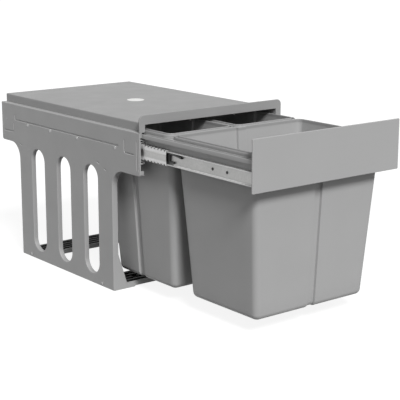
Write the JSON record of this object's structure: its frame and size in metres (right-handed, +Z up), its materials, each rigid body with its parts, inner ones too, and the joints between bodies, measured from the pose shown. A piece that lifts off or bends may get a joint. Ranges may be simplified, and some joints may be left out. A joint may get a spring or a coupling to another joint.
{
  "type": "under-sink pull-out waste bin",
  "caption": "Pull-out waste bin for a sink cabinet: slotted steel side frames, a fixed lid, a drawer on ball-bearing slides with a front panel, and tapered lift-out bins.",
  "frame": {"origin": "on the cabinet floor, at the middle of the four floor-fixing holes in the base bars", "axes": "+X across the cabinet to the right as seen from the front; the drawer opens along -Y; +Z up"},
  "size_m": [0.344, 0.8225, 0.3532],
  "materials": {
    "frame_paint": "grey powder coat, satin",
    "panel_paint": "grey powder coat, satin",
    "lid_plastic": "grey moulded plastic, fine grain",
    "bin_plastic": "grey moulded polypropylene, smooth",
    "tread_plastic": "black ribbed plastic",
    "black_plastic": "black moulded plastic",
    "disc_plastic": "plain white disc",
    "slide_zinc": "zinc-plated cold-rolled steel",
    "cage_zinc": "zinc-plated sheet",
    "ball_steel": "polished bearing balls",
    "screw_zinc": "zinc-plated",
    "screw_black": "black oxide",
    "rivet_metal": "plain aluminium rivets"
  },
  "bodies": {
    "frame": {"side_frame_left": "frame_paint", "side_frame_right": "frame_paint", "base_bar_front": "frame_paint", "base_bar_rear": "frame_paint", "base_tread_front": "tread_plastic", "base_tread_rear": "tread_plastic", "base_rivets": "rivet_metal", "lid_cover": "lid_plastic", "lid_disc": "disc_plastic", "lid_screws": "screw_zinc", "slide_outer_left": "slide_zinc", "slide_outer_right": "slide_zinc", "slide_outer_rivets": "rivet_metal", "slide_buffer_left": "black_plastic", "slide_buffer_right": "black_plastic"},
    "slide_stage": {"slide_middle_left": "slide_zinc", "slide_middle_right": "slide_zinc"},
    "outer_cages": {"outer_cage_left": "cage_zinc", "outer_cage_right": "cage_zinc", "outer_balls_left": "ball_steel", "outer_balls_right": "ball_steel"},
    "inner_cages": {"inner_cage_left": "cage_zinc", "inner_cage_right": "cage_zinc", "inner_balls_left": "ball_steel", "inner_balls_right": "ball_steel"},
    "drawer": {"slide_inner_left": "slide_zinc", "slide_inner_right": "slide_zinc", "slide_inner_screws": "screw_black", "slide_inner_nuts": "screw_zinc", "lever_pins": "screw_zinc", "drawer_rail_left": "frame_paint", "drawer_rail_right": "frame_paint", "crossbar_front": "frame_paint", "crossbar_middle": "frame_paint", "crossbar_rear": "frame_paint", "front_panel": "panel_paint", "panel_nuts": "screw_zinc"},
    "lever_left": {"release_lever_left": "black_plastic"},
    "lever_right": {"release_lever_right": "black_plastic"},
    "front_bin": {"bin_front": "bin_plastic"},
    "rear_bin_left": {"bin_rear_left": "bin_plastic"},
    "rear_bin_right": {"bin_rear_right": "bin_plastic"}
  },
  "joints": [
    {"name": "stage_slide", "type": "slide", "parent": "frame", "child": "slide_stage", "axis": [0, -1, 0], "range_m": [0, 0.182]},
    {"name": "drawer_slide", "type": "slide", "parent": "slide_stage", "child": "drawer", "axis": [0, -1, 0], "range_m": [-0.308, 0]},
    {"name": "outer_cage_slide", "type": "slide", "parent": "frame", "child": "outer_cages", "axis": [0, -1, 0], "range_m": [0, 0.091]},
    {"name": "inner_cage_slide", "type": "slide", "parent": "slide_stage", "child": "inner_cages", "axis": [0, -1, 0], "range_m": [-0.154, 0]},
    {"name": "lever_left_press", "type": "hinge", "parent": "drawer", "child": "lever_left", "pos_m": [-0.16, -0.325, 0.2845], "axis": [1, 0, 0], "range_deg": [0, 4], "stiffness_Nm_per_rad": 0.02, "springref_deg": -2.86},
    {"name": "lever_right_press", "type": "hinge", "parent": "drawer", "child": "lever_right", "pos_m": [0.16, -0.325, 0.2845], "axis": [1, 0, 0], "range_deg": [0, 4], "stiffness_Nm_per_rad": 0.02, "springref_deg": -2.86},
    {"name": "front_bin_lift", "type": "slide", "parent": "drawer", "child": "front_bin", "axis": [0, 0, 1], "range_m": [0, 0.3]},
    {"name": "rear_bin_left_lift", "type": "slide", "parent": "drawer", "child": "rear_bin_left", "axis": [0, 0, 1], "range_m": [0, 0.005]},
    {"name": "rear_bin_right_lift", "type": "slide", "parent": "drawer", "child": "rear_bin_right", "axis": [0, 0, 1], "range_m": [0, 0.005]}
  ],
  "couplings": [
    {"joint": "outer_cage_slide", "follows": "stage_slide", "ratio": 0.5},
    {"joint": "inner_cage_slide", "follows": "drawer_slide", "ratio": 0.5}
  ]
}
